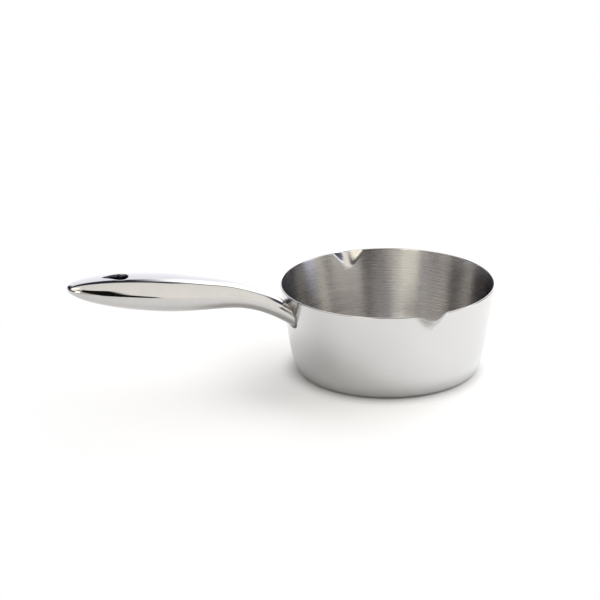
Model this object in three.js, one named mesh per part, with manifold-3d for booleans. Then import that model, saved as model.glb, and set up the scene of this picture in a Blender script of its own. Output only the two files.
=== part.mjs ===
// Butter melting pan: a drawn steel cup with two pouring lips and a hollow welded handle.
// Millimetres, +Z up. The origin is the centre of the flat base. The handle runs along -X,
// and the pouring lips point along -Y and +Y.
import * as THREE from 'three';
import { mergeVertices } from 'three/addons/utils/BufferGeometryUtils.js';
import Module from 'manifold-3d';

// Clearance between pieces that meet
const gap = 0.3;

// Cup: a flat base, a small corner, a curved lower wall and a straight tapered upper wall
const rimDiameter = 120;
const cupHeight = 50;
const cupSheet = 1;
const wallTaperDeg = 8.5;
const lowerWallRadius = 45;
const lowerWallHeight = 14;
const cornerRadius = 3;

// Pouring lips, pressed outwards in the rim
const lipWidth = 22;
const lipDepth = 9;
const lipReach = 5;
const lipDip = 1.8;
const lipRootWidth = 7;

// Handle outline: the neck leaves the wall steeply and bends into a straight, gently rising grip
const handleLength = 123;
const footDrop = 10.5;
const neckRun = 39;
const neckClimb = 16.6;
const neckRiseDeg = 40.5;
const gripRiseDeg = 9.1;
const waistRun = 15.6;
const swellRun = 72;
const neckWidth = 17;
const neckThickness = 12.3;
const gripWidth = 28;
const gripThickness = 19;
const seamLift = -0.03;

// Handle construction
const shellSheet = 1;
const seamWeldHeight = 0.6;
const endPlateThickness = 1.2;
const weldFilletSize = 0.8;

// Hanging hole: a teardrop with its narrow end towards the handle's nose
const holeLength = 14;
const holeWidth = 10;
const holeNarrowRadius = 1.2;
const holeFromTip = 19;
const sleeveWall = 0.8;

// Roundness of the handle's sections and of its nose
const crownPower = 2.2;
const bellyPower = 2.5;
const nosePower = 1.9;
const noseWidthFullness = 2.7;
const noseThicknessFullness = 1.9;

// Fineness of the facets
const cupSegments = 96;
const lipCrowding = 0.25;
const arcSteps = 4;
const lipRows = 4;
const ringPoints = 28;
const neckSteps = 10;
const swellSteps = 5;
const noseSteps = 12;
const holeSteps = 7;
const weldPoints = 40;
const weldSides = 3;
const halvings = 40;
const mergeDistance = 1e-4;

const wasm = await Module();
wasm.setup();

const rimRadius = rimDiameter / 2;
const wallTaper = THREE.MathUtils.degToRad(wallTaperDeg);

// Outer radius of the straight upper wall at a height
const wallRadiusAt = (z) => rimRadius - (cupHeight - z) * Math.tan(wallTaper);

const arcPoints = (centre, radius, from, to) => {
  const points = [];
  for (let i = 0; i <= arcSteps; i += 1) {
    const angle = from + ((to - from) * i) / arcSteps;
    const x = centre.x + radius * Math.cos(angle);
    const y = centre.y + radius * Math.sin(angle);
    points.push(new THREE.Vector2(x, y));
  }
  return points;
};

// The lower wall's arc is tangent to the straight wall, and the corner's arc to it and to the base
const lowerCentre = new THREE.Vector2(
  wallRadiusAt(lowerWallHeight) - lowerWallRadius * Math.cos(wallTaper),
  lowerWallHeight + lowerWallRadius * Math.sin(wallTaper),
);
const cornerCentre = new THREE.Vector2(
  lowerCentre.x + Math.sqrt((lowerWallRadius - cornerRadius) ** 2 - (lowerCentre.y - cornerRadius) ** 2),
  cornerRadius,
);
const cornerEnd = Math.atan2(cornerCentre.y - lowerCentre.y, cornerCentre.x - lowerCentre.x);

// Half profile of the cup's side from the base's edge up to the lower wall's end, moved out by grow
const lowerProfile = (grow) => [
  ...arcPoints(cornerCentre, cornerRadius + grow, -Math.PI / 2, cornerEnd),
  ...arcPoints(lowerCentre, lowerWallRadius + grow, cornerEnd, -wallTaper).slice(1),
];

// Points up the straight wall, close together where the lips are pressed
const upperProfile = (grow) => {
  const points = [];
  const shift = grow / Math.cos(wallTaper);
  for (let i = 0; i < lipRows; i += 1) {
    const z = cupHeight - lipDepth * (1 - i / lipRows);
    points.push(new THREE.Vector2(wallRadiusAt(z) + shift, z));
  }
  return points;
};

const revolve = (profile, segments) => {
  const geometry = new THREE.LatheGeometry(profile, segments);
  geometry.rotateX(Math.PI / 2);
  return geometry;
};

// Draws the points of the revolved cup together towards the lips, and presses the lips outwards
const pressLips = (geometry) => {
  const position = geometry.attributes.position;
  const point = new THREE.Vector3();
  for (let i = 0; i < position.count; i += 1) {
    point.fromBufferAttribute(position, i);
    const radius = Math.hypot(point.x, point.y);
    const plain = Math.atan2(point.y, point.x);
    const angle = plain + lipCrowding * Math.sin(2 * plain);
    const fromLip = Math.abs(Math.abs(angle) - Math.PI / 2) * radius;
    const rise = THREE.MathUtils.clamp(1 - (cupHeight - point.z) / lipDepth, 0, 1);
    const halfWidth = (lipRootWidth + (lipWidth - lipRootWidth) * rise) / 2;
    const press = fromLip < halfWidth ? rise * Math.cos((fromLip / halfWidth) * (Math.PI / 2)) ** 2 : 0;
    const pressed = radius + lipReach * press;
    const height = point.z - lipDip * press * rise;
    position.setXYZ(i, pressed * Math.cos(angle), pressed * Math.sin(angle), height);
  }
  return geometry;
};

const cupGeometry = () => {
  const rimShift = cupSheet / Math.cos(wallTaper);
  const rimCentre = new THREE.Vector2(rimRadius - rimShift / 2, cupHeight - rimShift / 2);
  const outside = [...lowerProfile(0), ...upperProfile(0)];
  const inside = [...lowerProfile(-cupSheet), ...upperProfile(-cupSheet)].reverse();
  const profile = [
    new THREE.Vector2(0, 0),
    ...outside,
    ...arcPoints(rimCentre, rimShift / 2, 0, Math.PI),
    ...inside,
    new THREE.Vector2(0, cupSheet),
  ];
  return pressLips(revolve(profile, cupSegments));
};

// Places along the handle, as distances from the cup's axis
const footHeight = cupHeight - footDrop;
const footReach = wallRadiusAt(footHeight);
const handleReach = footReach + handleLength;
const waistReach = footReach + waistRun;
const swellReach = footReach + swellRun;
const bendReach = footReach + neckRun;
const bendHeight = footHeight + neckClimb;
const neckSlope = Math.tan(THREE.MathUtils.degToRad(neckRiseDeg));
const gripSlope = Math.tan(THREE.MathUtils.degToRad(gripRiseDeg));

// The neck starts inside the wall, so that the wall's own curve cuts its end
const startDepth = neckThickness / 2;
const startReach = footReach - startDepth;
const startHeight = footHeight - startDepth * neckSlope;
const bendControl = startReach
  + (bendHeight - startHeight - gripSlope * (bendReach - startReach)) / (neckSlope - gripSlope);

// Height of the handle's middle line: a quadratic curve up the neck, then a straight grip
const spineHeight = (reach) => {
  if (reach >= bendReach) {
    return bendHeight + gripSlope * (reach - bendReach);
  }
  const square = startReach - 2 * bendControl + bendReach;
  const linear = 2 * (bendControl - startReach);
  const run = reach - startReach;
  const along = (2 * run) / (linear + Math.sqrt(linear ** 2 + 4 * square * run));
  const controlHeight = startHeight + neckSlope * (bendControl - startReach);
  return (1 - along) ** 2 * startHeight + 2 * along * (1 - along) * controlHeight + along ** 2 * bendHeight;
};

// Neck size, swelling to the grip's size and closing in a blunt nose, all moved in by inset
const handleSize = (reach, neckSize, gripSize, fullness, inset) => {
  const neck = neckSize / 2 - inset;
  const grip = gripSize / 2 - inset;
  if (reach < swellReach) {
    return neck + (grip - neck) * THREE.MathUtils.smoothstep(reach, waistReach, swellReach);
  }
  const along = Math.min((reach - swellReach) / (handleReach - inset - swellReach), 1);
  return grip * (1 - along ** nosePower) ** (1 / fullness);
};

const halfWidthAt = (reach, inset) => handleSize(reach, neckWidth, gripWidth, noseWidthFullness, inset);
const halfThicknessAt = (reach, inset) => (
  handleSize(reach, neckThickness, gripThickness, noseThicknessFullness, inset)
);
const seamHeight = (reach) => spineHeight(reach) + 2 * seamLift * halfThicknessAt(reach, 0);

const roundedPower = (value, power) => Math.sign(value) * Math.abs(value) ** (2 / power);

// One point of the handle's oval section, at an angle round it, counted from the near side
const sectionPoint = (reach, angle, inset) => {
  const halfThickness = halfThicknessAt(reach, inset);
  const lift = 2 * seamLift * halfThickness;
  const upper = Math.sin(angle) > 0;
  const power = upper ? crownPower : bellyPower;
  const height = upper ? halfThickness - lift : halfThickness + lift;
  return new THREE.Vector3(
    -reach,
    -halfWidthAt(reach, inset) * roundedPower(Math.cos(angle), power),
    spineHeight(reach) + lift + height * roundedPower(Math.sin(angle), power),
  );
};

// Distances at which the handle's sections stand, closest together towards the nose
const sectionReaches = (inset) => {
  const reaches = [];
  for (let i = 0; i < neckSteps; i += 1) {
    reaches.push(startReach + ((bendReach - startReach) * i) / neckSteps);
  }
  for (let i = 0; i < swellSteps; i += 1) {
    reaches.push(bendReach + ((swellReach - bendReach) * i) / swellSteps);
  }
  for (let i = 0; i < noseSteps; i += 1) {
    const along = Math.sin(((i / noseSteps) * Math.PI) / 2);
    reaches.push(swellReach + (handleReach - inset - swellReach) * along);
  }
  return reaches;
};

// Closed loft of the handle's sections, with the neck's end and the nose closed to a point
const handleLoft = (inset) => {
  const reaches = sectionReaches(inset);
  const points = [new THREE.Vector3(-startReach, 0, spineHeight(startReach))];
  const triangles = [];
  reaches.forEach((reach) => {
    for (let k = 0; k < ringPoints; k += 1) {
      points.push(sectionPoint(reach, (2 * Math.PI * k) / ringPoints, inset));
    }
  });
  const tip = points.length;
  points.push(new THREE.Vector3(-(handleReach - inset), 0, spineHeight(handleReach - inset)));
  for (let k = 0; k < ringPoints; k += 1) {
    const next = (k + 1) % ringPoints;
    triangles.push(0, 1 + next, 1 + k);
    for (let i = 0; i + 1 < reaches.length; i += 1) {
      const near = 1 + i * ringPoints;
      const far = near + ringPoints;
      triangles.push(near + k, far + next, far + k, near + k, near + next, far + next);
    }
    const last = 1 + (reaches.length - 1) * ringPoints;
    triangles.push(last + k, last + next, tip);
  }
  const geometry = new THREE.BufferGeometry().setFromPoints(points);
  geometry.setIndex(triangles);
  return geometry;
};

// A geometry as a solid that can be cut and joined, and back
const toSolid = (geometry) => {
  const plain = geometry.clone();
  plain.deleteAttribute('normal');
  plain.deleteAttribute('uv');
  const merged = mergeVertices(plain, mergeDistance);
  const corners = merged.index.array;
  const triVerts = [];
  for (let i = 0; i < corners.length; i += 3) {
    const [a, b, c] = corners.slice(i, i + 3);
    if (a !== b && b !== c && c !== a) {
      triVerts.push(a, b, c);
    }
  }
  return new wasm.Manifold(new wasm.Mesh({
    numProp: 3,
    vertProperties: new Float32Array(merged.attributes.position.array),
    triVerts: new Uint32Array(triVerts),
  }));
};

const toGeometry = (solid) => {
  const mesh = solid.getMesh();
  const geometry = new THREE.BufferGeometry();
  geometry.setAttribute('position', new THREE.BufferAttribute(mesh.vertProperties, 3));
  geometry.setIndex(new THREE.BufferAttribute(mesh.triVerts, 1));
  geometry.computeVertexNormals();
  return geometry;
};

// The cup's outside filled solid, moved out by grow and carried on above the rim
const filledCup = (grow) => {
  const top = cupHeight + gripThickness;
  const shift = grow / Math.cos(wallTaper);
  return toSolid(revolve([
    new THREE.Vector2(0, -grow),
    ...lowerProfile(grow),
    new THREE.Vector2(wallRadiusAt(top) + shift, top),
    new THREE.Vector2(0, top),
  ], cupSegments));
};

// Block above or below the handle's seam line, moved off it by offset
const seamBlock = (offset, side) => {
  const far = (cupHeight + handleLength) * side;
  const outline = [new THREE.Vector2(-startReach, far)];
  sectionReaches(0).forEach((reach) => {
    outline.push(new THREE.Vector2(-reach, seamHeight(reach) + offset * side));
  });
  outline.push(new THREE.Vector2(-handleReach - gap, seamHeight(handleReach) + offset * side));
  outline.push(new THREE.Vector2(-handleReach - gap, far));
  const width = 2 * gripWidth;
  const options = { depth: width, bevelEnabled: false };
  const geometry = new THREE.ExtrudeGeometry(new THREE.Shape(outline), options);
  geometry.rotateX(Math.PI / 2);
  geometry.translate(0, width / 2, 0);
  return toSolid(geometry);
};

// Upright teardrop bar through the grip, moved out by grow
const teardropBar = (grow) => {
  const wide = holeWidth / 2;
  const narrow = holeNarrowRadius;
  const narrowX = -(handleReach - holeFromTip - narrow);
  const apart = holeLength - wide - narrow;
  const touch = Math.acos((wide - narrow) / apart);
  const outline = new THREE.Shape();
  outline.absarc(narrowX + apart, 0, wide + grow, touch - Math.PI, Math.PI - touch, false);
  outline.absarc(narrowX, 0, narrow + grow, Math.PI - touch, Math.PI + touch, false);
  const options = { depth: 2 * gripThickness, bevelEnabled: false, curveSegments: holeSteps };
  const geometry = new THREE.ExtrudeGeometry(outline, options);
  geometry.translate(0, 0, spineHeight(-narrowX) - gripThickness);
  return toSolid(geometry);
};

const outerHandle = toSolid(handleLoft(0));
const hollowHandle = outerHandle
  .subtract(toSolid(handleLoft(shellSheet)))
  .subtract(filledCup(gap))
  .subtract(teardropBar(sleeveWall + gap));
const seamOffset = seamWeldHeight / 2 + gap;

const upperShell = () => toGeometry(hollowHandle.intersect(seamBlock(seamOffset, 1)));

const lowerShell = () => toGeometry(hollowHandle.intersect(seamBlock(seamOffset, -1)));

const seamWeld = () => toGeometry(
  hollowHandle
    .subtract(seamBlock(seamWeldHeight / 2, 1))
    .subtract(seamBlock(seamWeldHeight / 2, -1)),
);

const holeSleeve = () => toGeometry(
  teardropBar(sleeveWall).subtract(teardropBar(0)).intersect(outerHandle),
);

const endPlate = () => toGeometry(
  toSolid(handleLoft(shellSheet + gap))
    .intersect(filledCup(gap + endPlateThickness))
    .subtract(filledCup(gap)),
);

// Distance along the handle at which one line of its surface comes clear of the wall
const footCrossing = (angle) => {
  let inside = startReach;
  let outside = footReach + startDepth;
  for (let i = 0; i < halvings; i += 1) {
    const middle = (inside + outside) / 2;
    const point = sectionPoint(middle, angle, 0);
    const clear = Math.hypot(point.x, point.y) - wallRadiusAt(point.z);
    if (clear < gap / Math.cos(wallTaper)) {
      inside = middle;
    } else {
      outside = middle;
    }
  }
  return outside;
};

// Three-sided weld run round the neck's foot, clear of the neck and of the wall
const weldFillet = () => {
  const angles = Array.from({ length: weldPoints }, (_, k) => (2 * Math.PI * k) / weldPoints);
  const feet = angles.map((angle) => sectionPoint(footCrossing(angle), angle, 0));
  const points = [];
  const triangles = [];
  feet.forEach((foot, k) => {
    const before = feet[(k + weldPoints - 1) % weldPoints];
    const after = feet[(k + 1) % weldPoints];
    const round = after.clone().sub(before).normalize();
    const wallOut = new THREE.Vector3(foot.x, foot.y, 0).normalize();
    wallOut.z = -Math.tan(wallTaper);
    wallOut.normalize();
    const upNeck = sectionPoint(-foot.x + weldFilletSize, angles[k], 0).sub(foot).normalize();
    const offNeck = new THREE.Vector3().crossVectors(round, upNeck).normalize();
    const alongWall = new THREE.Vector3().crossVectors(round, wallOut).normalize();
    const root = foot.clone().addScaledVector(offNeck, gap);
    points.push(
      root,
      root.clone().addScaledVector(alongWall, weldFilletSize),
      root.clone().addScaledVector(upNeck, weldFilletSize),
    );
    const here = weldSides * k;
    const next = weldSides * ((k + 1) % weldPoints);
    for (let side = 0; side < weldSides; side += 1) {
      const other = (side + 1) % weldSides;
      triangles.push(here + side, next + side, next + other, here + side, next + other, here + other);
    }
  });
  const geometry = new THREE.BufferGeometry().setFromPoints(points);
  geometry.setIndex(triangles);
  geometry.computeVertexNormals();
  return geometry;
};

const steel = (color, roughness) => new THREE.MeshStandardMaterial({ color, roughness, metalness: 1 });
const satinSteel = () => steel(0xc8c8c6, 0.35);
const polishedSteel = () => steel(0xd6d5d2, 0.08);
const innerSteel = () => steel(0x9a9a98, 0.5);

const addPiece = (group, name, geometry, material) => {
  const mesh = new THREE.Mesh(geometry, material);
  mesh.name = name;
  group.add(mesh);
};

const pan = new THREE.Group();
addPiece(pan, 'cup', cupGeometry(), satinSteel());

const handle = new THREE.Group();
addPiece(handle, 'handle_upper_shell', upperShell(), polishedSteel());
addPiece(handle, 'handle_lower_shell', lowerShell(), polishedSteel());
addPiece(handle, 'handle_seam_weld', seamWeld(), polishedSteel());
addPiece(handle, 'hang_hole_sleeve', holeSleeve(), polishedSteel());
addPiece(handle, 'neck_end_plate', endPlate(), innerSteel());
addPiece(handle, 'neck_weld_fillet', weldFillet(), polishedSteel());
pan.add(handle);

export default pan;
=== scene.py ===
import math

import bpy
from mathutils import Matrix, Vector


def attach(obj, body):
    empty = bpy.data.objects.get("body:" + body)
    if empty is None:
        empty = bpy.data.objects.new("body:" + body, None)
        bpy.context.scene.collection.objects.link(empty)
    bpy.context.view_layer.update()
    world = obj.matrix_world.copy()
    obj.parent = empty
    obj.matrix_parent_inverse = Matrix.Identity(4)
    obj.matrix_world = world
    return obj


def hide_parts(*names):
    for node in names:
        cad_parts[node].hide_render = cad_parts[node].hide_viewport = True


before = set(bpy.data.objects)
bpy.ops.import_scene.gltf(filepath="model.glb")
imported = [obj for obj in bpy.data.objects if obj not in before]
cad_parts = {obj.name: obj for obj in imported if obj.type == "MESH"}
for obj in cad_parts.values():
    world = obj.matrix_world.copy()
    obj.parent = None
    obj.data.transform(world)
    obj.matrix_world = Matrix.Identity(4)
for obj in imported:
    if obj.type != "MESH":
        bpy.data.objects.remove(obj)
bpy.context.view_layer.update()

mm = 0.001
scene = bpy.context.scene
scene.view_settings.view_transform = 'Standard'

# The camera stands in front of the pan, a little above it, with the handle to the left
view = {
    'place': (-390.7311, -920.5049, 394.38),  # mm from the middle of the base
    'heading': -20.2056,  # degrees from +Y, left is positive
    'tilt': 19.5543,  # degrees below level
    'roll': -0.845,
    'lens': 113.8314,
    'sensor': 36.0,
}


def setCamera():
    data = bpy.data.cameras.new('camera')
    data.lens = view['lens']
    data.sensor_width = view['sensor']
    data.clip_start, data.clip_end = 0.01, 50
    camera = bpy.data.objects.new('camera', data)
    scene.collection.objects.link(camera)
    turn = Matrix.Rotation(math.radians(view['heading']), 4, 'Z')
    turn @= Matrix.Rotation(math.radians(90 - view['tilt']), 4, 'X')
    turn @= Matrix.Rotation(math.radians(view['roll']), 4, 'Z')
    camera.matrix_world = Matrix.Translation(Vector(view['place']) * mm) @ turn
    scene.camera = camera
    print('camera set')


setCamera()


# One output of a node, or a bare node tree. Arithmetic on it adds Math nodes.
class Wire:
    def __init__(self, tree, socket=None):
        self.tree = tree
        self.socket = socket

    # Any node: its type, its settings, then the values or links of its sockets
    def node(self, kind, settings=None, values=None, out=0):
        made = self.tree.nodes.new('ShaderNode' + kind)
        for name, value in (settings or {}).items():
            setattr(made, name, value)
        for name, value in (values or {}).items():
            if isinstance(value, Wire):
                self.tree.links.new(value.socket, made.inputs[name])
            else:
                made.inputs[name].default_value = value
        return Wire(self.tree, made.outputs[out]) if made.outputs else None

    # Another output of the same node
    def out(self, name):
        return Wire(self.tree, self.socket.node.outputs[name])

    def math(self, operation, *others):
        values = {0: self, **{i + 1: other for i, other in enumerate(others)}}
        return self.node('Math', {'operation': operation}, values)

    def reflected(self, operation, other):
        return self.node('Math', {'operation': operation}, {0: other, 1: self})

    def __add__(self, other):
        return self.math('ADD', other)

    __radd__ = __add__

    def __sub__(self, other):
        return self.math('SUBTRACT', other)

    def __rsub__(self, other):
        return self.reflected('SUBTRACT', other)

    def __mul__(self, other):
        return self.math('MULTIPLY', other)

    __rmul__ = __mul__

    def __truediv__(self, other):
        return self.math('DIVIDE', other)

    def __rtruediv__(self, other):
        return self.reflected('DIVIDE', other)

    # 0 below low, 1 above high, with a smooth step between
    def step(self, low, high):
        values = {'Value': self, 'From Min': low, 'From Max': high}
        return self.node('MapRange', {'interpolation_type': 'SMOOTHSTEP'}, values)

    # From low where the value is 0 to high where it is 1
    def spread(self, low, high):
        return self.node('MapRange', {}, {'Value': self, 'To Min': low, 'To Max': high})

    # Colours blend through Mix, whose colour sockets go by number
    def tint(self, low, high):
        return self.node('Mix', {'data_type': 'RGBA'}, {0: self, 6: low, 7: high}, 2)

    def vector(self, operation, other, out='Vector'):
        return self.node('VectorMath', {'operation': operation}, {0: self, 1: other}, out)

    def noise(self, scale, detail=2.0):
        values = {'Vector': self, 'Scale': scale, 'Detail': detail}
        return self.node('TexNoise', {}, values)


def grey(level, warm=0.0):
    return (level * (1 + warm), level, level * (1 - warm), 1)


def newMaterial(name):
    material = bpy.data.materials.new(name)
    material.use_nodes = True
    material.node_tree.nodes.clear()
    return material, Wire(material.node_tree)


def closeMaterial(tree, values):
    shader = tree.node('BsdfPrincipled', {}, values)
    tree.node('OutputMaterial', {}, {'Surface': shader})


# Place on the surface in millimetres, in the part's own frame
def placeInMm(tree):
    place = tree.node('TexCoord', {}, {}, 'Object')
    return place.vector('MULTIPLY', (1000, 1000, 1000))


# Coordinates that run round the cup's axis: slow along a brush line, quick across it
def ringPlace(tree, slow, quick):
    place = placeInMm(tree)
    parts = place.node('SeparateXYZ', {}, {'Vector': place})
    x, y, z = parts, parts.out('Y'), parts.out('Z')
    radius = (x * x + y * y).math('SQRT') + 0.01
    values = {'X': x / radius * slow, 'Y': y / radius * slow, 'Z': (radius + z) * quick}
    return tree.node('CombineXYZ', {}, values)


satin = {
    'colour': (grey(0.655), grey(0.685, 0.005)),
    'roughness': (0.20, 0.25),
    'grain': 5.0,  # brush lines per mm
    'anisotropy': 0.5,
    'bump': 0.075,
    'edge': (1, 1, 1, 1),  # how much of the light it sends back where it is seen at a slant
}
brushed = {
    'colour': (grey(0.595, 0.025), grey(0.645, 0.025)),
    'roughness': (0.24, 0.30),
    'grain': 3.0,
    'anisotropy': 0.95,
    'bump': 0.1,
    # Its dark blue tint at a slant is a painted reflection: it stands in for the dark reflections
    # at the ends of the inside
    'edge': (0.04, 0.06, 0.16, 1),
}
mirror = {
    'colour': (grey(0.54, 0.01), grey(0.56, 0.02)),
    'roughness': (0.03, 0.06),
    'wobble': 0.02,
    'wobbleSize': 14.0,  # mm
}
# Dark steel for the hole's sleeve and the end plate: painted shade, far darker than steel, standing
# in for the shade inside the hole
paintedShadeSteel = {
    'colour': ((0.05, 0.052, 0.08, 1), (0.10, 0.10, 0.13, 1)),
    'roughness': (0.25, 0.4),
    'edge': (0.10, 0.10, 0.15, 1),
}


def brushedSteel(name, look):
    material, tree = newMaterial(name)
    lines = ringPlace(tree, 1.5, look['grain']).noise(1.0, 3.0)
    patches = ringPlace(tree, 2.0, 0.05).noise(1.0, 2.0)
    mix = lines * 0.65 + patches * 0.35
    shade = mix.step(0.3, 0.7)
    bump = tree.node('Bump', {}, {'Height': lines, 'Strength': look['bump'], 'Distance': 0.00002})
    closeMaterial(tree, {
        'Base Color': shade.tint(*look['colour']),
        'Roughness': shade.spread(*look['roughness']),
        'Metallic': 1.0,
        'Anisotropic': look['anisotropy'],
        'Anisotropic Rotation': 0.25,
        'Specular Tint': look['edge'],
        'Normal': bump,
    })
    return material


def polishedSteel(name, look):
    material, tree = newMaterial(name)
    place = placeInMm(tree)
    haze = place.noise(0.15, 3.0)
    wobble = place.noise(1 / look['wobbleSize'], 0.0)
    bump = tree.node('Bump', {}, {'Height': wobble, 'Strength': look['wobble'], 'Distance': 0.001})
    shade = haze.step(0.3, 0.7)
    closeMaterial(tree, {
        'Base Color': shade.tint(*look['colour']),
        'Roughness': shade.spread(*look['roughness']),
        'Metallic': 1.0,
        'Normal': bump,
    })
    return material


def dullSteel(name, look):
    material, tree = newMaterial(name)
    shade = placeInMm(tree).noise(0.6, 4.0).step(0.3, 0.7)
    closeMaterial(tree, {
        'Base Color': shade.tint(*look['colour']),
        'Roughness': shade.spread(*look['roughness']),
        'Metallic': 1.0,
        'Specular Tint': look['edge'],
    })
    return material


# Builds a piece from points in millimetres, and seats it on the part
def makePiece(name, points, faces, materials, zones=None):
    mesh = bpy.data.meshes.new(name)
    mesh.from_pydata([Vector(p) * mm for p in points], [], faces)
    for material in materials:
        mesh.materials.append(material)
    if zones:
        mesh.polygons.foreach_set('material_index', zones)
    mesh.polygons.foreach_set('use_smooth', [True] * len(faces))
    mesh.validate()
    mesh.update()
    piece = bpy.data.objects.new(name, mesh)
    scene.collection.objects.link(piece)
    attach(piece, 'root')
    return piece


# The cup's sizes are the solid's own, in millimetres and degrees
cup = {
    'rimDiameter': 120,
    'height': 50,
    'sheet': 1,
    'taper': 8.5,
    'lowerRadius': 45,
    'lowerHeight': 14,
    'cornerRadius': 3,
    'lipWidth': 22,
    'lipDepth': 9,
    'lipReach': 5,
    'lipDip': 1.8,
    'lipRoot': 7,
    'segments': 384,  # points round the cup
    'lipCrowding': 0.25,  # how far they crowd towards the lips
    'baseRings': (4, 10, 16, 22, 28, 34, 39, 43, 45.5, 47),  # radii
    'baseLevel': 0.05,  # what lies lower counts as the base
    'cornerSteps': 10,
    'lowerSteps': 18,
    'wallRows': 14,
    'lipRows': 26,
    'rimSteps': 10,
    'rimGap': 0.1,  # from the last row of the wall to the round of the rim
}
taper = math.radians(cup['taper'])


def wallRadius(z):
    return cup['rimDiameter'] / 2 - (cup['height'] - z) * math.tan(taper)


lowerCentre = (
    wallRadius(cup['lowerHeight']) - cup['lowerRadius'] * math.cos(taper),
    cup['lowerHeight'] + cup['lowerRadius'] * math.sin(taper),
)
cornerRun = math.sqrt(
    (cup['lowerRadius'] - cup['cornerRadius']) ** 2 - (lowerCentre[1] - cup['cornerRadius']) ** 2
)
cornerCentre = (lowerCentre[0] + cornerRun, cup['cornerRadius'])
cornerEnd = math.atan2(cornerCentre[1] - lowerCentre[1], cornerRun)


def arc(centre, radius, start, end, steps):
    angles = [start + (end - start) * i / steps for i in range(steps + 1)]
    return [(centre[0] + radius * math.cos(a), centre[1] + radius * math.sin(a)) for a in angles]


# Half profile of one side of the sheet, from near the axis up to just below the rim
def cupSide(grow):
    base = [(r, -grow) for r in cup['baseRings']]
    cornerSize, lowerSize = cup['cornerRadius'] + grow, cup['lowerRadius'] + grow
    corner = arc(cornerCentre, cornerSize, -math.pi / 2, cornerEnd, cup['cornerSteps'])
    lower = arc(lowerCentre, lowerSize, cornerEnd, -taper, cup['lowerSteps'])[1:]
    shift = grow / math.cos(taper)
    lipStart = cup['height'] - cup['lipDepth']
    first, last = cup['lowerHeight'], cup['height'] - cup['sheet'] / 2 - cup['rimGap']
    wallRows, lipRows = cup['wallRows'], cup['lipRows']
    heights = [first + (lipStart - first) * i / wallRows for i in range(1, wallRows + 1)]
    heights += [lipStart + (last - lipStart) * i / lipRows for i in range(1, lipRows + 1)]
    return base + corner + lower + [(wallRadius(z) + shift, z) for z in heights]


# Moves a point of the plain cup to where the pressed lips put it
def pressLip(radius, plain, z):
    angle = plain + cup['lipCrowding'] * math.sin(2 * plain)
    fromLip = abs(abs(angle) - math.pi / 2) * radius
    rise = min(max(1 - (cup['height'] - z) / cup['lipDepth'], 0), 1)
    halfWidth = (cup['lipRoot'] + (cup['lipWidth'] - cup['lipRoot']) * rise) / 2
    press = rise * math.cos(fromLip / halfWidth * math.pi / 2) ** 2 if fromLip < halfWidth else 0
    pressed = radius + cup['lipReach'] * press
    return (pressed * math.cos(angle), pressed * math.sin(angle), z - cup['lipDip'] * press * rise)


def makeCup():
    outside, inside = cupSide(0), cupSide(-cup['sheet'])
    half = cup['sheet'] / 2
    rimHeight = cup['height'] - half
    rimCentre = (wallRadius(rimHeight) - half / math.cos(taper), rimHeight)
    rim = arc(rimCentre, half, -taper, math.pi - taper, cup['rimSteps'])
    profile = outside + rim + inside[::-1]
    # which finish each strip of the profile takes: base 0, outside 1, rim 2, inside 3
    rimStart, rimEnd = len(outside), len(outside) + len(rim)
    strips = []
    for i in range(len(profile) - 1):
        if i >= rimEnd - 1:
            strips.append(3)
        elif i >= rimStart - 1:
            strips.append(2)
        else:
            strips.append(0 if profile[i + 1][1] < cup['baseLevel'] else 1)
    count = cup['segments']
    points = [(0, 0, 0)]
    for radius, z in profile:
        for k in range(count):
            plain = math.remainder(2 * math.pi * k / count, 2 * math.pi)
            points.append(pressLip(radius, plain, z))
    points.append((0, 0, cup['sheet']))
    faces, zones = [], []
    last = 1 + (len(profile) - 1) * count
    for k in range(count):
        nextK = (k + 1) % count
        faces.append((0, 1 + nextK, 1 + k))
        zones.append(0)
        for i, zone in enumerate(strips):
            near, far = 1 + i * count, 1 + (i + 1) * count
            faces.append((near + k, near + nextK, far + nextK, far + k))
            zones.append(zone)
        faces.append((last + k, last + nextK, len(points) - 1))
        zones.append(3)
    materials = [
        brushedSteel('baseSteel', satin),
        brushedSteel('satinSteel', satin),
        polishedSteel('rimSteel', mirror),
        brushedSteel('brushedInside', brushed),
    ]
    piece = makePiece('cup_body', points, faces, materials, zones)
    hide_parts('cup')
    print('cup made,', len(faces), 'faces')


makeCup()

# The handle's sizes are the solids' own, in millimetres and degrees
handle = {
    'length': 123,
    'footDrop': 10.5,
    'neckRun': 39,
    'neckClimb': 16.6,
    'neckRise': 40.5,
    'gripRise': 9.1,
    'waistRun': 15.6,
    'swellRun': 72,
    'neckWidth': 17,
    'neckThickness': 12.3,
    'gripWidth': 28,
    'gripThickness': 19,
    'seamLift': -0.03,
    'sheet': 1,
    'crownPower': 2.2,
    'bellyPower': 2.5,
    'nosePower': 1.9,
    'noseWidthFullness': 2.7,
    'noseThicknessFullness': 1.9,
    'columns': 144,
    'neckRows': 40,
    'swellRows': 30,
    'noseRows': 64,
    'footGap': 0.05,
}
hole = {
    'length': 14,
    'width': 10,
    'narrowRadius': 1.2,
    'fromTip': 19,
    'edgeRadius': 0.35,
    'edgeSteps': 6,
    'sleeveWall': 0.8,
    'sleevePoints': 96,
    'sleeveRows': 12,
    'tuck': 0.05,  # how far the tube's ends stay under the skin
    'collar': 3.5,  # room for the rings round the hole, along the handle
    'collarColumns': 32,  # and round it
    'rings': 8,
}

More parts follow.
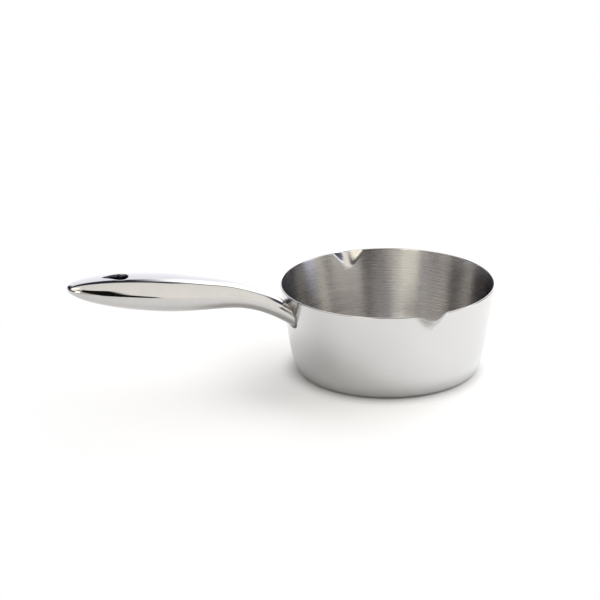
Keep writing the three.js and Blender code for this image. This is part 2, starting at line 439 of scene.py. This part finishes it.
footHeight = cup['height'] - handle['footDrop']
footReach = wallRadius(footHeight)
tipReach = footReach + handle['length']
waistReach = footReach + handle['waistRun']
swellReach = footReach + handle['swellRun']
bendReach = footReach + handle['neckRun']
bendHeight = footHeight + handle['neckClimb']
neckSlope = math.tan(math.radians(handle['neckRise']))
gripSlope = math.tan(math.radians(handle['gripRise']))
startDepth = handle['neckThickness'] / 2
startReach = footReach - startDepth
startHeight = footHeight - startDepth * neckSlope
bendControl = startReach + (
    (bendHeight - startHeight - gripSlope * (bendReach - startReach)) / (neckSlope - gripSlope)
)
controlHeight = startHeight + neckSlope * (bendControl - startReach)


# Height of the handle's middle line: a curve up the neck, then a straight grip
def spineHeight(reach):
    if reach >= bendReach:
        return bendHeight + gripSlope * (reach - bendReach)
    square = startReach - 2 * bendControl + bendReach
    linear = 2 * (bendControl - startReach)
    run = reach - startReach
    along = 2 * run / (linear + math.sqrt(linear**2 + 4 * square * run))
    rest = 1 - along
    return rest**2 * startHeight + 2 * along * rest * controlHeight + along**2 * bendHeight


def handleSize(reach, neckSize, gripSize, fullness, inset):
    neck, grip = neckSize / 2 - inset, gripSize / 2 - inset
    if reach < swellReach:
        along = min(max((reach - waistReach) / (swellReach - waistReach), 0), 1)
        return neck + (grip - neck) * along * along * (3 - 2 * along)
    along = min((reach - swellReach) / (tipReach - inset - swellReach), 1)
    return grip * (1 - along ** handle['nosePower']) ** (1 / fullness)


def halfWidth(reach, inset):
    neck, grip = handle['neckWidth'], handle['gripWidth']
    return handleSize(reach, neck, grip, handle['noseWidthFullness'], inset)


# Seam height and the height of crown or belly over it, at one place along the handle
def halfHeight(reach, upper, inset):
    neck, grip = handle['neckThickness'], handle['gripThickness']
    thick = handleSize(reach, neck, grip, handle['noseThicknessFullness'], inset)
    lift = 2 * handle['seamLift'] * thick
    return spineHeight(reach) + lift, thick - lift if upper else -(thick + lift)


def sectionPower(upper):
    return handle['crownPower'] if upper else handle['bellyPower']


# A point round the handle's oval section, counted from the near side upwards
def sectionPoint(reach, angle, inset):
    across, up = math.cos(angle), math.sin(angle)
    upper = up > 0
    power = sectionPower(upper)
    scale = (abs(across) ** power + abs(up) ** power) ** (-1 / power)
    seam, height = halfHeight(reach, upper, inset)
    return (-reach, -halfWidth(reach, inset) * scale * across, seam + height * scale * abs(up))


# Height of the crown's or belly's surface over a place in plan
def skinHeight(x, y, upper, inset):
    power = sectionPower(upper)
    seam, height = halfHeight(-x, upper, inset)
    share = min(abs(y) / halfWidth(-x, inset), 1)
    return seam + height * (1 - share**power) ** (1 / power)


# Place along the handle where one line of its surface comes clear of the wall
def footCrossing(angle, inset):
    inner, outer = startReach, footReach + startDepth
    for _ in range(40):
        middle = (inner + outer) / 2
        x, y, z = sectionPoint(middle, angle, inset)
        if math.hypot(x, y) - wallRadius(z) < handle['footGap']:
            inner = middle
        else:
            outer = middle
    return outer


# The teardrop's outline moved out by grow, as count points from its round end, counter-clockwise
def teardrop(grow, count):
    wide, narrow = hole['width'] / 2, hole['narrowRadius']
    narrowX = -(tipReach - hole['fromTip'] - narrow)
    apart = hole['length'] - wide - narrow
    wideX = narrowX + apart
    touch = math.acos((wide - narrow) / apart)
    run = apart * math.sin(touch)
    lengths = [wide * (math.pi - touch), run, 2 * narrow * touch, run, wide * (math.pi - touch)]
    whole = sum(lengths)
    points = []
    for i in range(count):
        place = whole * i / count
        leg = 0
        while place > lengths[leg] and leg < 4:
            place -= lengths[leg]
            leg += 1
        share = place / lengths[leg]
        if leg in (0, 4):
            angle = share * (math.pi - touch) - (math.pi - touch if leg == 4 else 0)
            centre, radius = wideX, wide
        elif leg == 2:
            angle = math.pi - touch + share * 2 * touch
            centre, radius = narrowX, narrow
        else:
            angle = math.pi - touch if leg == 1 else math.pi + touch
            part = share if leg == 1 else 1 - share
            centre, radius = wideX - apart * part, wide + (narrow - wide) * part
        reachOut = radius + grow
        points.append((centre + reachOut * math.cos(angle), reachOut * math.sin(angle)))
    return points


# Place along the handle of one ring of the nose
def noseReach(row, inset):
    share = math.sin(row / handle['noseRows'] * math.pi / 2)
    return swellReach + (tipReach - inset - swellReach) * share


# One side of the handle's sheet, with a hole above and below. Returns its points, its faces
# and its open edges: the foot, and the upper and lower hole.
def handleSide(inset, rolled):
    columns = handle['columns']
    angles = [2 * math.pi * k / columns for k in range(columns)]
    feet = [footCrossing(a, inset) for a in angles]
    rows = []
    for i in range(handle['neckRows']):
        share = i / handle['neckRows']
        rows.append([foot + (bendReach - foot) * share for foot in feet])
    for i in range(handle['swellRows']):
        rows.append([bendReach + (swellReach - bendReach) * i / handle['swellRows']] * columns)
    noseStart = len(rows)
    for i in range(handle['noseRows']):
        rows.append([noseReach(i, inset)] * columns)
    points = [sectionPoint(r, a, inset) for row in rows for r, a in zip(row, angles)]
    tip = len(points)
    points.append((-(tipReach - inset), 0, spineHeight(tipReach - inset)))

    # the patch that each hole stands in, in the same rows and columns on both sides of the sheet
    collarEnd = tipReach - hole['fromTip'] + hole['collar']
    collarStart = collarEnd - hole['length'] - 2 * hole['collar']
    noseRows = range(handle['noseRows'])
    firstRow = noseStart + max(i for i in noseRows if noseReach(i, 0) < collarStart)
    lastRow = noseStart + min(i for i in noseRows if noseReach(i, 0) > collarEnd)
    half = hole['collarColumns'] // 2
    top, bottom = columns // 4, columns * 3 // 4
    patches = {True: (top - half, top + half), False: (bottom - half, bottom + half)}
    faces = []
    for i in range(len(rows) - 1):
        for k in range(columns):
            inPatch = any(low <= k < high for low, high in patches.values())
            if firstRow <= i < lastRow and inPatch:
                continue
            nextK = (k + 1) % columns
            a, b = i * columns, (i + 1) * columns
            faces.append((a + k, a + nextK, b + nextK, b + k))
    last = (len(rows) - 1) * columns
    for k in range(columns):
        faces.append((last + k, last + (k + 1) % columns, tip))

    edges = {'foot': list(range(columns))}
    for upper, (low, high) in patches.items():
        # the patch's border in plan, counter-clockwise from the middle of the side nearest the cup
        side = [firstRow * columns + k for k in range(low, high)]
        side += [i * columns + high for i in range(firstRow, lastRow)]
        side += [lastRow * columns + k for k in range(high, low, -1)]
        side += [i * columns + low for i in range(lastRow, firstRow, -1)]
        border = side[half:] + side[:half]
        if not upper:
            border = border[::-1]
            border = border[-1:] + border[:-1]
        count = len(border)
        outline = teardrop(hole['edgeRadius'] if rolled else handle['sheet'], count)
        ring = border
        for n in range(1, hole['rings'] + 1):
            share = n / hole['rings']
            new = []
            for start, (x, y) in zip(border, outline):
                px = points[start][0] + (x - points[start][0]) * share
                py = points[start][1] + (y - points[start][1]) * share
                new.append(len(points))
                points.append((px, py, skinHeight(px, py, upper, inset)))
            faces += ringFaces(ring, new, upper)
            ring = new
        if rolled:
            for n in range(1, hole['edgeSteps'] + 1):
                turn = n / hole['edgeSteps'] * math.pi / 2
                lip = teardrop(hole['edgeRadius'] * (1 - math.sin(turn)), count)
                sink = hole['edgeRadius'] * (1 - math.cos(turn)) * (-1 if upper else 1)
                new = []
                for (x, y), (edgeX, edgeY) in zip(lip, outline):
                    new.append(len(points))
                    points.append((x, y, skinHeight(edgeX, edgeY, upper, inset) + sink))
                faces += ringFaces(ring, new, upper)
                ring = new
        edges[upper] = ring
    return points, faces, edges


# Quads between two rings of equal count that run the same way
def ringFaces(first, second, flip):
    count = len(first)
    quads = []
    for k in range(count):
        n = (k + 1) % count
        quad = (first[k], first[n], second[n], second[k])
        quads.append(quad if flip else quad[::-1])
    return quads


def makeHandle():
    outer, outerFaces, outerEdges = handleSide(0, True)
    inner, innerFaces, innerEdges = handleSide(handle['sheet'], False)
    shift = len(outer)
    faces = outerFaces + [tuple(i + shift for i in face[::-1]) for face in innerFaces]
    for edge, flip in (('foot', False), (True, True), (False, False)):
        faces += ringFaces(outerEdges[edge], [i + shift for i in innerEdges[edge]], flip)
    materials = [polishedSteel('mirrorSteel', mirror)]
    piece = makePiece('handle_skin', outer + inner, faces, materials, None)
    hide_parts('handle_upper_shell', 'handle_lower_shell', 'handle_seam_weld')
    print('handle made,', len(faces), 'faces')


makeHandle()


# The tube that lines the hanging hole, tucked under the rolled edges of the skin
def makeSleeve():
    count, rows, tuck = hole['sleevePoints'], hole['sleeveRows'], hole['tuck']
    edge = teardrop(hole['edgeRadius'], count)
    points, rings = [], []

    def addRing(grow, share, sink):
        ring = []
        for (x, y), (edgeX, edgeY) in zip(teardrop(grow, count), edge):
            top = skinHeight(edgeX, edgeY, True, 0) - sink
            bottom = skinHeight(edgeX, edgeY, False, 0) + sink
            ring.append(len(points))
            points.append((x, y, top + (bottom - top) * share))
        rings.append(ring)

    for i in range(rows + 1):
        addRing(0, i / rows, hole['edgeRadius'] + tuck)
    for i in range(rows + 1):
        addRing(hole['sleeveWall'], 1 - i / rows, handle['sheet'] + 2 * tuck)
    faces = []
    for i in range(len(rings)):
        faces += ringFaces(rings[i], rings[(i + 1) % len(rings)], True)
    # the sleeve takes the dark painted-shade steel
    materials = [dullSteel('sleevePaintedShade', paintedShadeSteel)]
    piece = makePiece('hole_sleeve', points, faces, materials, None)
    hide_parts('hang_hole_sleeve')
    print('sleeve made')


makeSleeve()

weld = {
    'size': 0.9,
    'points': 144,
    'arcSteps': 5,
    'clear': 0.02,
    'colour': (grey(0.20, 0.04), grey(0.30, 0.04)),  # ground, but duller than the polished neck
    'roughness': (0.22, 0.35),
    'edge': (0.5, 0.5, 0.5, 1),
}


# Concave bead between the neck's foot and the cup's wall
def makeWeld():
    count, clear = weld['points'], weld['clear']
    angles = [2 * math.pi * k / count for k in range(count)]
    reaches = [footCrossing(a, 0) for a in angles]
    feet = [Vector(sectionPoint(r, a, 0)) for r, a in zip(reaches, angles)]
    points, rings = [], []
    for k, foot in enumerate(feet):
        along = (feet[(k + 1) % count] - feet[k - 1]).normalized()
        wallOut = Vector((foot.x, foot.y, 0)).normalized()
        wallOut.z = -math.tan(taper)
        onWall = along.cross(wallOut.normalized()).normalized()
        upNeck = (Vector(sectionPoint(reaches[k] + weld['size'], angles[k], 0)) - foot).normalized()
        offNeck = along.cross(upNeck).normalized()
        root = foot + offNeck * clear
        low = root + onWall * weld['size']
        radius = wallRadius(low.z) + clear
        low.xy = low.xy.normalized() * radius
        high = root + upNeck * weld['size']
        ring = [root]
        for i in range(weld['arcSteps'] + 1):
            t = i / weld['arcSteps']
            ring.append(low * (1 - t) ** 2 + root * (2 * t * (1 - t)) + high * t * t)
        rings.append(list(range(len(points), len(points) + len(ring))))
        points += [tuple(p) for p in ring]
    faces = []
    for k in range(count):
        faces += ringFaces(rings[k], rings[(k + 1) % count], False)
    materials = [dullSteel('weldSteel', weld)]
    piece = makePiece('neck_weld', points, faces, materials, None)
    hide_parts('neck_weld_fillet')
    print('weld made')


makeWeld()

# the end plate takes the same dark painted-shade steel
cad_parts['neck_end_plate'].material_slots[0].material = dullSteel('platePaintedShade', paintedShadeSteel)
print('end plate finished')

black = (0.01, 0.01, 0.01)

# Studio: a white room with soft boards in it, placed in degrees round the pan, with the camera in
# front. Side counts to the camera's right, and over counts from the front horizon over the top to
# the back. Turn counts round the horizon from the front to the right, and rise counts upwards. A
# lean tilts a board's lower and upper edge, in degrees of rise for each degree of turn. Later
# boards lie over earlier ones.
studio = {
    'floor': 0.80,
    'floorReach': 4000,  # mm
    'floorFront': 630,  # mm from the pan to the front edge of the floor
    'floorDrop': 0.2,  # mm below the base
    'floorGlow': 0.36,
    'glowStart': (47, 62),  # mm from the middle of the base; the glow fades out towards the base, a painted contact shadow
    'mirrorStart': (48, 60),  # the same for what the steel shows of the floor: painted shade near the base, seen as a dark line at the cup's foot
    'shade': (30, 12),  # mm to the left and to the front, the middle of a painted shadow on the floor that only the steel shows
    'shadeFade': (50, 80),  # mm from that middle
    'shadeLevel': 0.5,
    'whiteStart': (95, 240),  # mm from the pan, where the floor runs out into the white
    'fillShare': 0.51,  # how much of the room's light the matt floor gets
    'room': ((1.08, 1.05, 0.99), (1.25, 1.22, 1.15)),  # from the left to the right
    'roomFade': (-40, 60),  # degrees of side between the two
    'boards': [
        # the ceiling behind the pan, for the top of the grip
        {'over': (131, 200), 'soft': 3, 'colour': (1.33, 1.33, 1.42)},
        # warm boards high up on the left, for the brushed inside
        {'turn': (-124, -88), 'rise': (48, 76), 'soft': 4, 'colour': (2.10, 1.90, 1.95)},
        {'turn': (-88, -60), 'rise': (40, 76), 'soft': 4, 'colour': (1.80, 1.62, 1.45)},
        {'turn': (-60, -40), 'rise': (42, 76), 'soft': 4, 'colour': (1.50, 1.46, 1.10)},
        # a cool strip on the right, and dark flags on both sides for the ends of the inside
        {'turn': (88, 103), 'rise': (-10, 24), 'soft': 3, 'colour': (2.20, 2.30, 2.75)},
        {'turn': (66, 80), 'rise': (2, 16), 'soft': 3, 'colour': (0.04, 0.04, 0.06)},
        {'turn': (106, 150), 'rise': (-10, 36), 'soft': 3, 'colour': (0.03, 0.04, 0.08)},
        {'turn': (-148, -38), 'rise': (6, 34), 'soft': 4, 'colour': (0.03, 0.02, 0.05)},
        # a dimmer front, and the strip that makes the bright band inside
        {'turn': (-28, 10), 'rise': (-20, 27), 'soft': 4, 'colour': (0.69, 0.67, 0.56)},
        {'turn': (-42, -14), 'rise': (34, 64), 'soft': 4, 'colour': (0.62, 0.60, 0.58)},
        {'turn': (-35, -16), 'rise': (10, 33), 'soft': 3, 'colour': (3.20, 3.10, 2.75)},
        # the gap in the ceiling, for the dark line along the grip's shoulder
        {'side': (-60, 20), 'over': (117, 136), 'soft': 3, 'colour': (0.03, 0.03, 0.05)},
        {'side': (9, 32), 'over': (128, 182), 'soft': 5, 'colour': (2.30, 2.30, 2.32)},
        {'side': (14, 60), 'over': (125, 130), 'soft': 2, 'colour': (0.25, 0.25, 0.28)},
        # a black flag in front with a thin tail, for the wedge on the side of the grip
        {'turn': (-14, 30), 'rise': (36, 66), 'lean': (-1.45, -0.45), 'soft': 3, 'colour': black},
        {'turn': (18, 38), 'rise': (-40, 27), 'lean': (0, -1.3), 'soft': 2, 'colour': black},
    ],
    'key': {'side': 35, 'over': 126, 'distance': 1.3, 'width': 2.0, 'length': 1.4, 'power': 19.2},
}
facing = math.radians(23)  # the camera's bearing from -Y towards -X
toCamera = Vector((-math.sin(facing), -math.cos(facing), 0))
toRight = Vector((math.cos(facing), -math.sin(facing), 0))
toTop = Vector((0, 0, 1))


def makeStudio():
    world = bpy.data.worlds.new('studio')
    scene.world = world
    world.use_nodes = True
    world.node_tree.nodes.clear()
    tree = Wire(world.node_tree)
    way = tree.node('TexCoord', {}, {}, 'Generated')
    front = way.vector('DOT_PRODUCT', toCamera, 'Value')
    right = way.vector('DOT_PRODUCT', toRight, 'Value')
    up = way.vector('DOT_PRODUCT', toTop, 'Value')
    degrees = 180 / math.pi
    overFront = up.math('ARCTAN2', front) * degrees
    places = {
        'side': right.math('ARCSINE') * degrees,
        'over': (overFront + 450).math('MODULO', 360) - 90,  # -90 is straight down
        'turn': right.math('ARCTAN2', front) * degrees,
        'rise': up.math('ARCSINE') * degrees,
    }
    left, rightEnd = studio['room']
    light = places['side'].step(*studio['roomFade']).tint((*left, 1), (*rightEnd, 1))
    for board in studio['boards']:
        soft = board['soft']
        mask = None
        for name, place in places.items():
            if name not in board:
                continue
            low, high = board[name]
            bottom = top = place
            if name == 'rise' and 'lean' in board:
                along = places['turn'] - board['turn'][0]
                bottom, top = (place - along * lean for lean in board['lean'])
            share = bottom.step(low - soft, low + soft) * (1 - top.step(high - soft, high + soft))
            mask = share if mask is None else mask * share
        light = mask.tint(light, (*board['colour'], 1))
    path = tree.node('LightPath', {}, {}, 'Is Camera Ray')
    shiny = path.out('Is Glossy Ray')
    values = {0: light, 'Scale': studio['fillShare']}
    dimmed = tree.node('VectorMath', {'operation': 'SCALE'}, values)
    shown = path.tint(shiny.tint(dimmed, light), (1, 1, 1, 1))
    glow = tree.node('Background', {}, {'Color': shown, 'Strength': 1.0})
    tree.node('OutputWorld', {}, {'Surface': glow})

    key = studio['key']
    lamp = bpy.data.lights.new('key', 'AREA')
    lamp.shape = 'RECTANGLE'
    lamp.size, lamp.size_y = key['width'], key['length']
    lamp.energy = key['power']
    keyLight = bpy.data.objects.new('key', lamp)
    keyLight.visible_glossy = False
    scene.collection.objects.link(keyLight)
    sideways, around = math.radians(key['side']), math.radians(key['over'])
    away = toRight * math.sin(sideways)
    away += (toCamera * math.cos(around) + toTop * math.sin(around)) * math.cos(sideways)
    keyLight.location = away * key['distance']
    keyLight.rotation_euler = away.to_track_quat('Z', 'Y').to_euler()
    print('lights set')


def makeFloor():
    material, tree = newMaterial('floorPaper')
    place = placeInMm(tree)
    paper = place.noise(0.02, 2.0).tint(grey(studio['floor']), grey(studio['floor'] * 1.01))
    path = tree.node('LightPath', {}, {}, 'Is Camera Ray')
    fromPan = place.vector('DISTANCE', (0, 0, 0), 'Value')
    left, forward = studio['shade']
    fromShade = place.vector('DISTANCE', toCamera * forward - toRight * left, 'Value')
    # No glow near the base: a painted contact shadow round the foot, on top of the real one
    seen = path * fromPan.step(*studio['glowStart'])
    # A painted shadow on the floor to the front left, seen only in the steel: less glow there for
    # glossy rays
    shaded = fromShade.step(*studio['shadeFade']).spread(studio['shadeLevel'], 1.0)
    # The steel sees no floor glow close to the base: painted shade at its foot
    mirrored = path.out('Is Glossy Ray') * fromPan.step(*studio['mirrorStart']) * shaded
    glow = (seen + mirrored) * studio['floorGlow']
    matt = tree.node('BsdfPrincipled', {}, {
        'Base Color': paper,
        'Roughness': 1.0,
        'Specular IOR Level': 0.0,
        'Emission Color': glow.tint((0, 0, 0, 1), (1, 1, 1, 1)),
        'Emission Strength': 1.0,
    })
    white = tree.node('Emission', {}, {'Color': (1, 1, 1, 1), 'Strength': 1.0})
    distant = path * fromPan.step(*studio['whiteStart'])
    shown = tree.node('MixShader', {}, {0: distant, 1: matt, 2: white})
    tree.node('OutputMaterial', {}, {'Surface': shown})
    near, far = toCamera * studio['floorFront'], toCamera * -studio['floorReach']
    wide = toRight * studio['floorReach']
    drop = toTop * studio['floorDrop']
    corners = [near - wide, near + wide, far + wide, far - wide]
    mesh = bpy.data.meshes.new('floor')
    mesh.from_pydata([(corner - drop) * mm for corner in corners], [], [(0, 1, 2, 3)])
    mesh.materials.append(material)
    floor = bpy.data.objects.new('floor', mesh)
    scene.collection.objects.link(floor)
    print('floor laid')


makeStudio()
makeFloor()
